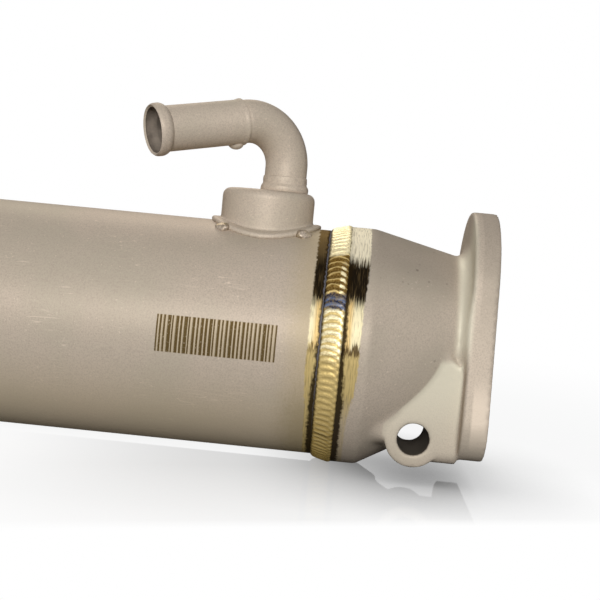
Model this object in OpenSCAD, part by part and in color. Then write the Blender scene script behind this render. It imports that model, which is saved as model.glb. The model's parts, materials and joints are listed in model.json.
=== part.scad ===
/* [Shell] */
// Outer diameter of the shell tube
shell_od = 101.6; // [96:0.1:112]
// Wall of the shell tube
shell_wall = 2; // [1.2:0.1:3]
// Length of the shell tube
shell_length = 400; // [330:1:600]
// Radius of the coolant hole through the shell under each pod
coolant_hole_r = 16; // [8:0.5:18]

/* [End castings] */
// How far the shell slides into the socket of each casting
socket_depth = 12; // [8:0.5:15]
// Radial gap between the shell and a socket
socket_gap = 0.1; // [0.05:0.05:0.3]
// Wall of the collar around a socket
collar_wall = 2.4; // [1.8:0.1:4]
// Length of the straight collar
collar_length = 15.9; // [15.5:0.1:22]
// Width of the ledge inside the shell's bore that the shell and tube sheet seat on
seat_ledge = 1.8; // [1:0.1:3]
// Length of the conical part between collar and flange
cone_length = 41.7; // [34:0.1:60]
// Radius of a gas port
port_r = 28; // [24:0.5:31]
// Wall of the neck where it meets the flange
neck_wall = 8.5; // [6:0.5:10]
// Radius of the fillet between neck and flange
neck_fillet = 8; // [3:0.5:10]
// Thickness of both flanges
flange_t = 11; // [8:0.5:16]

/* [Hot flange] */
// Height of the hot gas port above the shell's axis
port_rise = 7; // [0:0.5:12]
// Radius of the flange's round top
crown_r = 38; // [34:0.5:44]
// Height of the round top's centre above the port
crown_height = 20; // [16:0.5:26]
// Radius of the two lower corners
foot_r = 15; // [10:0.5:18]
// Sideways distance of a lower corner's centre from the port
foot_side = 33; // [30:0.5:38]
// Drop of a lower corner's centre below the port
foot_drop = 33; // [28:0.5:36]
// Radius of the bolt circle around the port
hot_bolt_circle_r = 43; // [42:0.5:45]
// Radius of a tapping hole in the hot flange
hot_bolt_hole_r = 3.4; // [2.5:0.1:4.2]
// Metal left behind a tapping hole in the hot flange
hot_bolt_floor = 2; // [1:0.5:4]

/* [Cold flange] */
// Corner radius of the square cold flange
cold_corner_r = 12; // [6:0.5:18]
// Spacing of the cold flange's bolt holes, the same both ways
cold_bolt_spacing = 82; // [76:0.5:86]
// Radius of a bolt hole in the cold flange
cold_bolt_hole_r = 4.5; // [3:0.1:5.5]

/* [Mounting lug] */
// Distance of the lug's hole behind the hot flange's face
lug_back = 29.8; // [27:0.1:36]
// Drop of the lug's hole below the port
lug_drop = 40.4; // [38:0.1:44]
// Radius of the lug's round boss
lug_boss_r = 12; // [10:0.5:14]
// Radius of the bolt hole through the lug
lug_hole_r = 6.75; // [4:0.05:8]
// Distance of the lug's front face from the shell's axis
lug_front = 40; // [38:0.5:43]
// Thickness of the lug
lug_t = 36; // [20:0.5:44]
// Room above the lug's hole in the nut pocket behind it
pocket_room = 1; // [0.5:0.5:2]
// Metal between the nut pocket and the gas chamber
pocket_wall = 4; // [3:0.5:5]
// Drop of the web's peak below the port
web_peak = 2.5; // [1:0.5:12]
// How far the web under the flange hangs below the flange's foot
web_sag = 2; // [0:0.5:3]
// Radius along the web's lower edges
web_edge_r = 5; // [2:0.5:8]

/* [Ring welds] */
// Length of a ring weld along the shell, before the collar
weld_on_shell = 5; // [3:0.5:6]
// Length of a ring weld over the collar
weld_on_collar = 4; // [2:0.5:6]
// Height of the weld's crown over its chord
weld_crown = 1.3; // [0.6:0.1:2]

/* [Tube bundle] */
// Outer diameter of a gas tube
tube_od = 9.5; // [6:0.1:10.5]
// Wall of a gas tube
tube_wall = 0.8; // [0.5:0.1:1.2]
// Distance between neighbouring gas tubes
tube_pitch = 13; // [12:0.1:13.6]
// Rings of gas tubes around the middle one
tube_rings = 3; // [1:1:3]
// How far a gas tube stands out of its tube sheet
tube_stick_out = 0.6; // [0.2:0.1:2]
// Thickness of a tube sheet
sheet_t = 6; // [4:0.5:8]
// Radial gap between a tube sheet and the shell
sheet_gap = 0.1; // [0.05:0.05:0.3]
// Radial gap between a gas tube and its hole in a tube sheet
tube_gap = 0.05; // [0.02:0.01:0.15]
// Number of baffles
baffle_count = 3; // [1:1:5]
// Thickness of a baffle
baffle_t = 1.5; // [1:0.1:3]
// Rows of gas tubes left free in a baffle's opening
rows_open = 2; // [1:1:2]
// Radial gap between a baffle and the shell
baffle_gap = 0.4; // [0.2:0.05:0.8]
// Radial gap between a gas tube and its hole in a baffle
baffle_tube_gap = 0.15; // [0.1:0.05:0.25]

/* [Coolant pods] */
// Distance of a pod's centre from the ring weld
pod_setback = 34; // [31:0.5:50]
// Outer radius of a pod
pod_r = 20.9; // [19.5:0.1:24]
// Sheet thickness of a pod
pod_wall = 1.6; // [1:0.1:2.5]
// Height of a pod's top above the shell
pod_height = 15.2; // [12:0.1:24]
// Radius of a pod's top edge
pod_edge_r = 3.6; // [2.8:0.1:5]
// Width of the skirt around a pod
skirt_w = 3.7; // [2:0.1:5]
// Radius of a tack weld on the skirt
tack_r = 2.6; // [1.5:0.1:3.5]
// Number of tack welds around a pod
tack_count = 4; // [2:1:8]

/* [Coolant pipes] */
// Outer diameter of a coolant pipe
pipe_od = 19; // [14:0.1:20]
// Wall of a coolant pipe
pipe_wall = 1.5; // [1:0.1:2]
// Distance of a pipe from its pod's centre, toward the ring weld
pipe_offset = 6.6; // [0:0.1:7]
// Radial gap between a pipe and the hole in its pod
pipe_gap = 0.1; // [0.05:0.05:0.3]
// How far a pipe reaches into its pod
pipe_dip = 4; // [3:0.5:8]
// Height of a pipe's straight leg above the pod
pipe_leg = 11; // [7:0.5:30]
// Radius of a pipe's bend along its middle line
bend_r = 18.5; // [16:0.5:40]
// Angle of a pipe's bend
bend_angle = 102; // [80:1:110]
// Angle by which a pipe turns to the front, away from the shell's axis
pipe_turn = 31; // [0:1:60]
// Length of a pipe's straight nipple
nipple_length = 44; // [36:0.5:80]
// How much wider in radius the nipple is than the rest of its pipe
nipple_swell = 0.3; // [0.2:0.1:0.6]
// Height of the hose bead at a nipple's end
bead_rise = 1.5; // [0.8:0.1:2.5]
// Width of the hose bead at a nipple's end
bead_w = 6; // [4:0.5:8]
// Height of the stop ring at a nipple's root
stop_rise = 0.8; // [0.4:0.1:1.5]
// Width of the stop ring at a nipple's root
stop_w = 4; // [2:0.5:6]
// Height of the small nub under a nipple
nub_rise = 2.2; // [1:0.1:3]
// Width of the small nub under a nipple
nub_w = 7; // [4:0.5:9]
// Height of the braze cove around a pipe's foot
braze_h = 5; // [2:0.5:6]
// Width of the braze cove around a pipe's foot
braze_w = 1.5; // [0.8:0.1:2]

/* [Hidden] */
$fn = 96;
slack = 1;
hot_bolt_count = 3;
shell_r = shell_od / 2;
bore_r = shell_r - shell_wall;
collar_r = shell_r + socket_gap + collar_wall;
neck_r = port_r + neck_wall;
axis_z = -port_rise;
cone_end = flange_t + cone_length;
weld_x = -cone_end - collar_length;
seat_x = weld_x + socket_depth;
seat_bore_r = bore_r - seat_ledge;
shell_mid_x = seat_x - shell_length / 2;
cold_face_x = 2 * shell_mid_x;
foot_bottom = foot_drop + foot_r;
web_bottom = foot_bottom + web_sag;
lug_end = lug_back + lug_boss_r;
pocket_top = -lug_drop + lug_hole_r + pocket_room;
weld_start = [shell_r, weld_x - weld_on_shell];
weld_end = [collar_r, weld_x + weld_on_collar];
weld_across = (weld_end - weld_start) / norm(weld_end - weld_start);
weld_r = arc_r(norm(weld_end - weld_start), weld_crown);
weld_middle = (weld_start + weld_end) / 2 + (weld_crown - weld_r) * [weld_across[1], -weld_across[0]];
cold_half = weld_middle[0] + weld_r;
tube_r = tube_od / 2;
row_step = tube_pitch * sqrt(3) / 2;
pipe_r = pipe_od / 2;
nipple_r = pipe_r + nipple_swell;
nipple_bore_r = nipple_r - pipe_wall;
pod_x = weld_x - pod_setback;
pod_top = axis_z + shell_r + pod_height;
skirt_r = pod_r + skirt_w;

// Places of the gas tubes on a six-sided grid, as [across, up] from the shell's axis
TUBES = [
    for (row = [-tube_rings:tube_rings])
        for (step = [0:2 * tube_rings - abs(row)])
            [(step - tube_rings + abs(row) / 2) * tube_pitch, row * row_step]
];

function two_digits(i) = i < 10 ? str("0", i) : str(i);
function tube_name(i) = str("gas_tube_", two_digits(i + 1));
function baffle_name(i) = str("baffle_", i + 1);
// Radius of a circle from its chord and the height of its arc over the chord
function arc_r(chord, rise) = (chord * chord / 4 + rise * rise) / (2 * rise);
// Angle of the outward normal on the side that joins the flange's crown and foot
function side_normal() =
    acos((crown_r - foot_r) / norm([foot_side, crown_height + foot_drop]))
    - atan2(crown_height + foot_drop, foot_side);

PORT_ENDS = ["front", "rear"];

// Placing helpers

// A cylinder along +X from x, centred on the port's axis
module rod(x, length, r) {
    translate([x, 0, 0]) rotate([0, 90, 0]) cylinder(h = length, r = r);
}

// Moves a shape from the port's axis to the shell's axis
module on_axis() {
    translate([0, 0, axis_z]) children();
}

// Draws a shape at the hot end, or mirrored at the cold end
module at_end(e) {
    if (e == "front") children();
    else translate([2 * shell_mid_x, 0, 0]) mirror([1, 0, 0]) children();
}

// A cone along X whose two round ends may lie at different heights
module slanted_cone(x0, z0, r0, x1, z1, r1) {
    lean = (z1 - z0) / (x1 - x0);
    translate([x0, 0, z0])
        multmatrix([[1, 0, 0, 0], [0, 1, 0, 0], [lean, 0, 1, 0], [0, 0, 0, 1]])
            rotate([0, 90, 0]) cylinder(h = x1 - x0, r1 = r0, r2 = r1);
}

// A flat outline in Y and Z, given thickness along X from x
module plate(x, thickness) {
    translate([x, 0, 0]) rotate([90, 0, 90]) linear_extrude(thickness) children();
}

// Outline of the hot flange: round crown, straight flared sides and two round feet
module hot_outline() {
    n = [cos(side_normal()), sin(side_normal())];
    crown = [0, crown_height];
    foot = [foot_side, -foot_drop];
    crown_touch = crown + crown_r * n;
    foot_touch = foot + foot_r * n;
    translate(crown) circle(crown_r);
    for (s = [-1, 1]) {
        translate([s * foot[0], foot[1]]) circle(foot_r);
        polygon([
            [0, crown[1]],
            [s * crown_touch[0], crown_touch[1]],
            [s * foot_touch[0], foot_touch[1]],
            [s * foot[0], foot[1]],
            [s * foot[0], -foot_bottom],
            [0, -foot_bottom]
        ]);
    }
}

// Outline of the square cold flange, as wide as the ring welds so that the cooler lies level
module cold_outline() {
    flat = cold_half - cold_corner_r;
    square(2 * [cold_half, flat], center = true);
    square(2 * [flat, cold_half], center = true);
    for (y = [-flat, flat], z = [-flat, flat]) translate([y, z]) circle(cold_corner_r);
}

// Outside of a casting without its flange: collar and cone
module casting_horn(rise) {
    translate([0, 0, -rise]) rod(weld_x, collar_length, collar_r);
    slanted_cone(-cone_end, -rise, collar_r, -flange_t, 0, neck_r);
}

// Cove between the neck and the flange's back
module neck_cove() {
    rotate([0, -90, 0]) translate([0, 0, flange_t]) rotate_extrude() difference() {
        translate([port_r, 0]) square([neck_wall + neck_fillet, neck_fillet]);
        translate([neck_r + neck_fillet, neck_fillet]) circle(neck_fillet);
    }
}

// Shell socket and gas port of a casting
module casting_bores(rise) {
    translate([0, 0, -rise])
        rod(weld_x - slack, socket_depth + slack, shell_r + socket_gap);
    rod(-flange_t - slack, flange_t + 2 * slack, port_r);
}

// Gas chamber of the hot casting, with a raised floor over the lug's nut pocket
module hot_chamber() {
    difference() {
        slanted_cone(seat_x, axis_z, seat_bore_r, -flange_t, 0, port_r);
        translate([-lug_end - pocket_wall, -collar_r, pocket_top + pocket_wall - collar_r])
            cube([lug_end + pocket_wall, 2 * collar_r, collar_r]);
    }
}

// Gas chamber of the cold casting
module cold_chamber() {
    slanted_cone(seat_x, 0, seat_bore_r, -flange_t, 0, port_r);
}

// An outline in X and Z, as thick as the lug
module lug_slab() {
    translate([0, lug_t - lug_front, 0]) rotate([90, 0, 0]) linear_extrude(lug_t) children();
}

// Boss and web of the mounting lug, before its hole is drilled
module lug() {
    lug_slab() translate([-lug_back, -lug_drop]) circle(lug_boss_r);
    intersection() {
        lug_slab() polygon([
            [-lug_end, -lug_drop],
            [-lug_back, -web_bottom],
            [-flange_t, -web_bottom],
            [-flange_t, -web_peak - neck_fillet],
            [-flange_t - neck_fillet, -web_peak],
            [-lug_end, -web_peak - neck_fillet]
        ]);
        plate(-lug_end, lug_end) lug_section();
    }
}

// Bolt hole of the lug, and the pocket behind it that makes room for a nut
module lug_hole() {
    back = lug_t - lug_front;
    translate([-lug_back, back + slack, -lug_drop])
        rotate([90, 0, 0]) cylinder(h = lug_t + 2 * slack, r = lug_hole_r);
    translate([-lug_end, back, pocket_top - collar_r])
        cube([2 * lug_boss_r, collar_r, collar_r]);
}

// Section of the web across the shell, with its lower edges rounded
module lug_section() {
    back = lug_t - lug_front;
    translate([-lug_front, -web_bottom + web_edge_r]) square([lug_t, web_bottom]);
    translate([-lug_front + web_edge_r, -web_bottom])
        square([lug_t - 2 * web_edge_r, web_edge_r + slack]);
    for (y = [-lug_front + web_edge_r, back - web_edge_r])
        translate([y, -web_bottom + web_edge_r]) circle(web_edge_r);
}

// The shell tube with its two coolant holes
module shell() {
    color("#a8a39a") difference() {
        on_axis() rod(seat_x - shell_length, shell_length, shell_r);
        on_axis() rod(seat_x - shell_length - slack, shell_length + 2 * slack, bore_r);
        for (e = PORT_ENDS) at_end(e)
            translate([pod_x, 0, axis_z]) cylinder(h = shell_r + slack, r = coolant_hole_r);
    }
}

// The hot casting: collar, slanted cone, three-bolt flange and mounting lug in one piece
module hot_end_casting() {
    color("#9d978d") difference() {
        union() {
            casting_horn(port_rise);
            intersection() {
                neck_cove();
                plate(-flange_t - neck_fillet, neck_fillet) hot_outline();
            }
            plate(-flange_t, flange_t) hot_outline();
            lug();
        }
        casting_bores(port_rise);
        hot_chamber();
        for (i = [0:hot_bolt_count - 1])
            rotate([360 * i / hot_bolt_count, 0, 0]) translate([0, 0, hot_bolt_circle_r])
                rod(hot_bolt_floor - flange_t, flange_t - hot_bolt_floor + slack, hot_bolt_hole_r);
        lug_hole();
    }
}

// The cold casting: collar, straight cone and square four-bolt flange in one piece
module cold_end_casting() {
    half = cold_bolt_spacing / 2;
    color("#9d978d") on_axis() translate([cold_face_x, 0, 0]) mirror([1, 0, 0])
        difference() {
            union() {
                casting_horn(0);
                neck_cove();
                plate(-flange_t, flange_t) cold_outline();
            }
            casting_bores(0);
            cold_chamber();
            for (y = [-half, half], z = [-half, half]) translate([0, y, z])
                rod(-flange_t - neck_fillet, flange_t + neck_fillet + slack, cold_bolt_hole_r);
        }
}

// A ring weld that fills the step from the shell to the collar
module ring_weld(e) {
    reach = weld_on_shell + weld_on_collar + 2 * weld_r;
    color("#b59a5e") at_end(e) on_axis() rotate([0, 90, 0]) rotate_extrude() difference() {
        translate(weld_middle) circle(weld_r);
        translate([0, weld_x - reach]) square([shell_r, 2 * reach]);
        translate([0, weld_x]) square([collar_r, reach]);
    }
}

// A tube sheet seated on a casting's ledge, flush with the shell's end
module tube_sheet(e) {
    color("#8f8a82") at_end(e) on_axis() difference() {
        rod(seat_x - sheet_t, sheet_t, bore_r - sheet_gap);
        tube_holes(seat_x - sheet_t, sheet_t, tube_gap);
    }
}

// Holes for all the gas tubes
module tube_holes(x, length, gap) {
    for (t = TUBES) translate([0, t[0], t[1]])
        rod(x - slack, length + 2 * slack, tube_r + gap);
}

// One gas tube, through both tube sheets
module gas_tube(i) {
    length = shell_length + 2 * tube_stick_out;
    start = seat_x + tube_stick_out - length;
    color("#b4b0a8") on_axis() translate([0, TUBES[i][0], TUBES[i][1]]) difference() {
        rod(start, length, tube_r);
        rod(start - slack, length + 2 * slack, tube_r - tube_wall);
    }
}

// One baffle, cut open above or below in turn between two rows of tubes
module baffle(i) {
    x = seat_x - shell_length * (i + 1) / (baffle_count + 1) - baffle_t / 2;
    side = i % 2 == 0 ? 1 : -1;
    window = (tube_rings - rows_open + 0.5) * row_step;
    color("#a09b92") on_axis() difference() {
        rod(x, baffle_t, bore_r - baffle_gap);
        tube_holes(x, baffle_t, baffle_tube_gap);
        translate([x - slack, -shell_r, side > 0 ? window : -window - shell_od])
            cube([baffle_t + 2 * slack, shell_od, shell_od]);
    }
}

// The round disc over the shell's top that a pod's saddle skirt is cut from
module skirt_block() {
    intersection() {
        translate([pod_x, 0, axis_z]) cylinder(h = shell_od, r = skirt_r);
        on_axis() rod(pod_x - skirt_r - slack, 2 * skirt_r + 2 * slack, shell_r + pod_wall);
    }
}

// A pressed cup with a saddle skirt that lies on the shell
module pod_sheet() {
    flat_r = pod_r - pod_edge_r;
    body_h = pod_height + shell_r;
    difference() {
        union() {
            translate([pod_x, 0, axis_z]) {
                cylinder(h = body_h - pod_edge_r, r = pod_r);
                cylinder(h = body_h, r = flat_r);
                translate([0, 0, body_h - pod_edge_r])
                    rotate_extrude() translate([flat_r, 0]) circle(pod_edge_r);
            }
            skirt_block();
        }
        translate([pod_x, 0, axis_z]) cylinder(h = body_h - pod_wall, r = pod_r - pod_wall);
        on_axis() rod(pod_x - skirt_r - 2 * slack, 2 * skirt_r + 4 * slack, shell_r);
        translate([pod_x + pipe_offset, 0, pod_top - pod_wall - slack])
            cylinder(h = pod_wall + 2 * slack, r = pipe_r + pipe_gap);
    }
}

module coolant_pod(e) {
    color("#aba69d") at_end(e) pod_sheet();
}

// Tack welds in the corner between the skirt's edge and the shell
module pod_tacks(e) {
    color("#8c867b") at_end(e) difference() {
        for (i = [0:tack_count - 1]) {
            angle = 360 * (i + 0.5) / tack_count;
            out = skirt_r + tack_r / 4;
            across = out * sin(angle);
            up = sqrt(shell_r * shell_r - across * across);
            translate([pod_x + out * cos(angle), across, axis_z + up]) sphere(tack_r);
        }
        on_axis() rod(pod_x - 2 * skirt_r, 4 * skirt_r, shell_r);
        translate([pod_x, 0, axis_z]) cylinder(h = shell_od, r = skirt_r);
    }
}

// The straight leg, bend and wider nipple of a pipe, shrunk all round by inset, from its pod's top
module pipe_run(inset, past) {
    translate([0, 0, -pipe_dip - past]) cylinder(h = pipe_leg + pipe_dip + past, r = pipe_r - inset);
    translate([bend_r, 0, pipe_leg]) rotate([-90, 0, 0])
        rotate_extrude(angle = bend_angle, start = 180)
            translate([bend_r, 0]) circle(pipe_r - inset);
    at_nipple() translate([0, 0, -stop_w / 2])
        cylinder(h = nipple_length + stop_w / 2 + past, r = nipple_r - inset);
}

// Moves a shape that runs along +Z to the start of the nipple
module at_nipple() {
    translate([bend_r * (1 - cos(bend_angle)), 0, pipe_leg + bend_r * sin(bend_angle)])
        rotate([0, bend_angle, 0]) children();
}

// A round swelling around a nipple that runs along +Z
module swelling(z, width, rise) {
    r = arc_r(width, rise);
    translate([0, 0, z]) rotate_extrude() intersection() {
        translate([nipple_r + rise - r, 0]) circle(r);
        translate([nipple_bore_r, -width / 2]) square([pipe_wall + rise, width]);
    }
}

// A bent coolant pipe with its hose bead, stop ring and nub
module coolant_pipe(e) {
    nub_r = arc_r(nub_w, nub_rise);
    color("#b0aba2") at_end(e) at_pipe_foot() rotate([0, 0, 180 + pipe_turn]) difference() {
        union() {
            pipe_run(0, 0);
            at_nipple() {
                swelling(nipple_length - bead_w / 2, bead_w, bead_rise);
                swelling(0, stop_w, stop_rise);
                translate([nipple_r + nub_rise - nub_r, 0, stop_w / 2 + slack]) sphere(nub_r);
            }
        }
        pipe_run(pipe_wall, slack);
    }
}

// Moves a shape to the foot of a pipe on its pod's top
module at_pipe_foot() {
    translate([pod_x + pipe_offset, 0, pod_top]) children();
}

// The braze cove around a pipe's foot
module pipe_braze(e) {
    r = (braze_w * braze_w + braze_h * braze_h) / (2 * braze_w);
    color("#a39d92") at_end(e) at_pipe_foot() rotate_extrude() difference() {
        translate([pipe_r, 0]) square([braze_w, braze_h]);
        translate([pipe_r + r, braze_h]) circle(r);
    }
}

shell();
hot_end_casting();
cold_end_casting();
ring_weld("front");  // hot_ring_weld
ring_weld("rear");  // cold_ring_weld
tube_sheet("front");  // hot_tube_sheet
tube_sheet("rear");  // cold_tube_sheet
for (i = [0:baffle_count - 1]) baffle(i);
for (e = PORT_ENDS) {
    coolant_pod(e);
    pod_tacks(e);
    coolant_pipe(e);
    pipe_braze(e);
}
for (i = [0:len(TUBES) - 1]) gas_tube(i);
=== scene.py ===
"""Looks of a shell-and-tube gas cooler: cast ends, ring welds, coolant pods and hose pipes."""

import json
import math

import bpy
from bpy.props import FloatProperty, FloatVectorProperty, IntProperty, PointerProperty
from mathutils import Matrix, Vector

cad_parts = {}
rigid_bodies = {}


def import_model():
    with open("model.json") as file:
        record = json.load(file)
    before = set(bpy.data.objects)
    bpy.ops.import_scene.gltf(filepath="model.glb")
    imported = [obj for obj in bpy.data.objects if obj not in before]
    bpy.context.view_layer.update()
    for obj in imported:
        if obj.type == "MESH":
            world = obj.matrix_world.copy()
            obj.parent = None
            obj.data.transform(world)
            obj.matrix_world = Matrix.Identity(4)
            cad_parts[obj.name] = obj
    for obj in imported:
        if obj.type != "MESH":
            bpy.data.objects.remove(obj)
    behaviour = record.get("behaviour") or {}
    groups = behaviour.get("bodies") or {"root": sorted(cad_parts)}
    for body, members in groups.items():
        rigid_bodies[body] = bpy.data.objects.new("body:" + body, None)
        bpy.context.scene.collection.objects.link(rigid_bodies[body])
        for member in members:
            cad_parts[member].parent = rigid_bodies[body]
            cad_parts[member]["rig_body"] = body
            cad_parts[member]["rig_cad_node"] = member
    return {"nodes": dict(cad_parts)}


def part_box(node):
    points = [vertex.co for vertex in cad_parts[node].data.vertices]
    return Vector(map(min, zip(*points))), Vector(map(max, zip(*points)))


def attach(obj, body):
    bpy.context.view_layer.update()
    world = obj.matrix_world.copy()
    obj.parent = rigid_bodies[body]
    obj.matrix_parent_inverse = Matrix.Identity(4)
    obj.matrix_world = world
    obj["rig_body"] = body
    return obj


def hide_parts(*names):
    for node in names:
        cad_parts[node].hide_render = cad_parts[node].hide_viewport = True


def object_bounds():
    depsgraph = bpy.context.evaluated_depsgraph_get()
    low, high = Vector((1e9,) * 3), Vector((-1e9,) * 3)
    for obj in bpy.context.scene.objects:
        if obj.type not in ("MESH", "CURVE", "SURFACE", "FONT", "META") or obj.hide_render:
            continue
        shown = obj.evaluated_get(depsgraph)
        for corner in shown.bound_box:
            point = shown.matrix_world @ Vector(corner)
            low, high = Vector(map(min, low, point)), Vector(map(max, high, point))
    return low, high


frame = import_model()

bl_info = {
    "name": "Gas cooler looks",
    "version": (1, 0, 0),
    "blender": (4, 5, 0),
    "location": "View3D > Sidebar > Cooler",
    "description": "Dresses the solids of a shell-and-tube gas cooler",
    "category": "Object",
}

# Places read from the solids, in metres
CAD_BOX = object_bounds()
SHELL_LOW, SHELL_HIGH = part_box("shell")
WELD_LOW, WELD_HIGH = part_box("hot_ring_weld")
POD_LOW, POD_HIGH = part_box("front_coolant_pod")
CAST_LOW, CAST_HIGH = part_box("hot_end_casting")
COLD_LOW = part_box("cold_end_casting")[0]
AXIS_Z = (SHELL_LOW.z + SHELL_HIGH.z) / 2
SHELL_R = (SHELL_HIGH.y - SHELL_LOW.y) / 2
MID_X = (SHELL_LOW.x + SHELL_HIGH.x) / 2
POD_X = (POD_LOW.x + POD_HIGH.x) / 2
POD_TOP = POD_HIGH.z
FLOOR_Z = min(CAD_BOX[0][2], WELD_LOW.z)
MM = 0.001
LUG_HOLE = Vector((CAST_HIGH.x - 29.8 * MM, -40 * MM, -40.4 * MM))

# Roundings of the castings: what stays flat behind a flange's face, and rounds of extra smoothing
FACE_DEPTH = 1.6 * MM
BOSS_ROUNDS = 45
COLLAR_ROUNDS = 22
# Lump beside the lug's boss, in millimetres
LUMP_PLACE = (-14.6, 11.5, 3.5)
LUMP_SIZE = (6.6, 12.0, 8.5)
# How deep a pipe's nub sits in the nipple
NUB_SINK = 0.6 * MM
# Camera's axes, and the lamps as place, aim and size
CAMERA_RIGHT = Vector((0.9953, 0.0408, 0.0946))
CAMERA_UP = Vector((-0.0971, 0.0635, 0.9938))
KEY_LAMP = ((-0.1, -1.2, 0.36), (-0.12, 0.0, 0.0), (0.9, 0.35))
RIM_LAMP = ((-0.35, 0.85, 0.75), (-0.2, 0.0, 0.0), (0.6, 0.5))
# Floor: slant of its front edge, middle of its clear part, brightness, and gloss near and in front
FRONT_SLANT = (0.41, -1.0, 0.0)
FLOOR_MIDDLE = (-0.2, -0.1, FLOOR_Z)
FLOOR_GLOW = (0.92, 0.92, 0.92)
GLOSS_NEAR = 0.29
GLOSS_FRONT = 0.07


def colour_property(name, description, default):
    return FloatVectorProperty(
        name=name, description=description, subtype="COLOR", default=default, min=0.0, max=1.0)


def length_property(name, description, default, **limits):
    return FloatProperty(name=name, description=description, unit="LENGTH", default=default, **limits)


class CoolerFinish(bpy.types.PropertyGroup):
    """Colours of the steel and of the heat tints beside the welds"""

    steel: colour_property("Blasted steel", "Colour of the shell, pods and pipes", (0.605, 0.507, 0.41))
    steel_cool: colour_property(
        "Cool patches", "Greener tone that clouds the blasted steel", (0.535, 0.472, 0.37))
    cast: colour_property("Cast steel", "Colour of the two end castings", (0.585, 0.495, 0.40))
    # Pale cast is painted light, on the lug's front and on the fillets behind the flanges
    pale: colour_property("Pale cast", "Front of the lug and fillets behind the flanges", (0.77, 0.72, 0.57))
    machined: colour_property("Machined faces", "Colour of the flange faces", (0.66, 0.62, 0.56))
    gold: colour_property("Pale gold", "Palest heat tint of the ring welds", (0.95, 0.84, 0.54))
    orange: colour_property("Orange", "Warm heat tint close to the ring welds", (0.84, 0.54, 0.17))
    amber: colour_property("Amber", "Deep heat tint of the ring welds", (0.13, 0.07, 0.017))
    tan: colour_property("Tan", "Dull heat tint of the ring welds", (0.66, 0.50, 0.21))
    olive: colour_property("Olive", "Dark heat tint of the ring welds", (0.40, 0.28, 0.09))
    blue: colour_property("Blue", "Hottest tint of the ring welds", (0.05, 0.07, 0.16))
    burnt: colour_property("Burnt edge", "Soot beside the ring welds", (0.010, 0.006, 0.0025))
    brown: colour_property("Brown", "Scorched steel around the soot", (0.13, 0.085, 0.035))
    straw: colour_property("Straw", "Faint tint that fades away from the ring welds", (0.54, 0.43, 0.26))
    mark: colour_property("Etched bars", "Colour of the etched bars on the shell", (0.105, 0.065, 0.018))
    silver: colour_property("Silver", "Clean brushed steel above the soot", (1.0, 0.90, 0.67))
    # Glint and Steely blue are painted highlights on the weld ripples' crests
    glint: colour_property("Glint", "Crests of the amber ripples", (0.90, 0.68, 0.29))
    steely: colour_property("Steely blue", "Crests of the blue ripples", (0.12, 0.155, 0.25))
    lilac: colour_property("Lilac", "Thin line beside the ring welds, on the shell", (0.25, 0.25, 0.29))
    core: colour_property("Core", "Colour of the gas tubes, tube sheets and baffles", (0.40, 0.37, 0.33))


class CoolerWeld(bpy.types.PropertyGroup):
    """Sizes of the ring welds and tacks"""

    ripples: IntProperty(
        name="Ripples", description="Puddles laid around one ring weld", default=112, min=40, max=300)
    width: length_property(
        "Width", "Length of one puddle across the seam", 10.2 * MM, min=4 * MM, max=16 * MM)
    pitch_share: FloatProperty(
        name="Overlap", description="Length of a puddle along the seam, in steps", default=2.6,
        min=1.2, max=4.0)
    height: length_property("Height", "Thickness of one puddle", 2.3 * MM, min=1 * MM, max=6 * MM)
    lean: length_property("Lean", "How far the bead lies toward the casting", 1.1 * MM, min=0.0, max=3 * MM)
    sink: length_property(
        "Sink", "How deep the puddles' middles lie below the steel", 0.5 * MM, min=0.0, max=3 * MM)
    tack: length_property("Tack", "Radius of a tack weld on a pod's skirt", 2.9 * MM, min=1 * MM, max=4 * MM)


class CoolerPipe(bpy.types.PropertyGroup):
    """Sizes of a coolant pipe: as in the solids, with a thinner wall and a groove"""

    radius: length_property("Radius", "Outer radius of the pipe", 9.5 * MM)
    nipple: length_property("Nipple radius", "Outer radius of the hose nipple", 9.8 * MM)
    wall: length_property("Wall", "Wall of the pipe", 1.1 * MM)
    offset: length_property("Offset", "Distance of the pipe from its pod's centre", 6.6 * MM)
    dip: length_property("Dip", "How far the pipe reaches into its pod", 4 * MM)
    leg: length_property("Leg", "Height of the straight leg above the pod", 11 * MM)
    bend_r: length_property("Bend radius", "Radius of the bend's middle line", 18.5 * MM)
    bend: FloatProperty(
        name="Bend", description="Angle of the bend", subtype="ANGLE", default=math.radians(102))
    turn: FloatProperty(
        name="Turn", description="Angle of the pipe toward the front", subtype="ANGLE",
        default=math.radians(31))
    length: length_property("Nipple length", "Length of the straight nipple", 44 * MM)
    bead: length_property("Bead", "Height of the hose bead", 1.5 * MM)
    bead_w: length_property("Bead width", "Width of the hose bead", 6 * MM)
    stop: length_property("Stop", "Height of the stop ring", 0.5 * MM)
    stop_w: length_property("Stop width", "Width of the stop ring", 4 * MM)
    stop_at: length_property("Stop place", "Distance of the stop ring from the bend", 2.4 * MM)
    groove: length_property("Groove", "Depth of the groove beside the stop ring", 0.45 * MM)
    nub_w: length_property("Nub width", "Width of the nub under the nipple", 7 * MM)


class CoolerStage(bpy.types.PropertyGroup):
    """Camera, lamps and floor"""

    lens: FloatProperty(
        name="Lens", description="Focal length of the camera", unit="CAMERA", default=66.0)
    eye: FloatVectorProperty(
        name="Eye", description="Place of the camera", subtype="TRANSLATION",
        default=(-0.0669, -0.5, 0.0446))
    key: FloatProperty(
        name="Key lamp", description="Power of the soft lamp in front", subtype="POWER", default=12.9)
    rim: FloatProperty(
        name="Rim lamp", description="Power of the soft lamp behind", subtype="POWER", default=8.0)
    ambient: FloatProperty(
        name="Ambient", description="Strength of the light from all around", default=0.02, min=0.0, max=1.0)
    floor: colour_property("Floor", "Colour of the floor", (0.13, 0.13, 0.13))


# Helpers for selecting, applying and handing over pieces

def deselect():
    bpy.ops.object.select_all(action="DESELECT")


def active():
    return bpy.context.view_layer.objects.active


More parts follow.
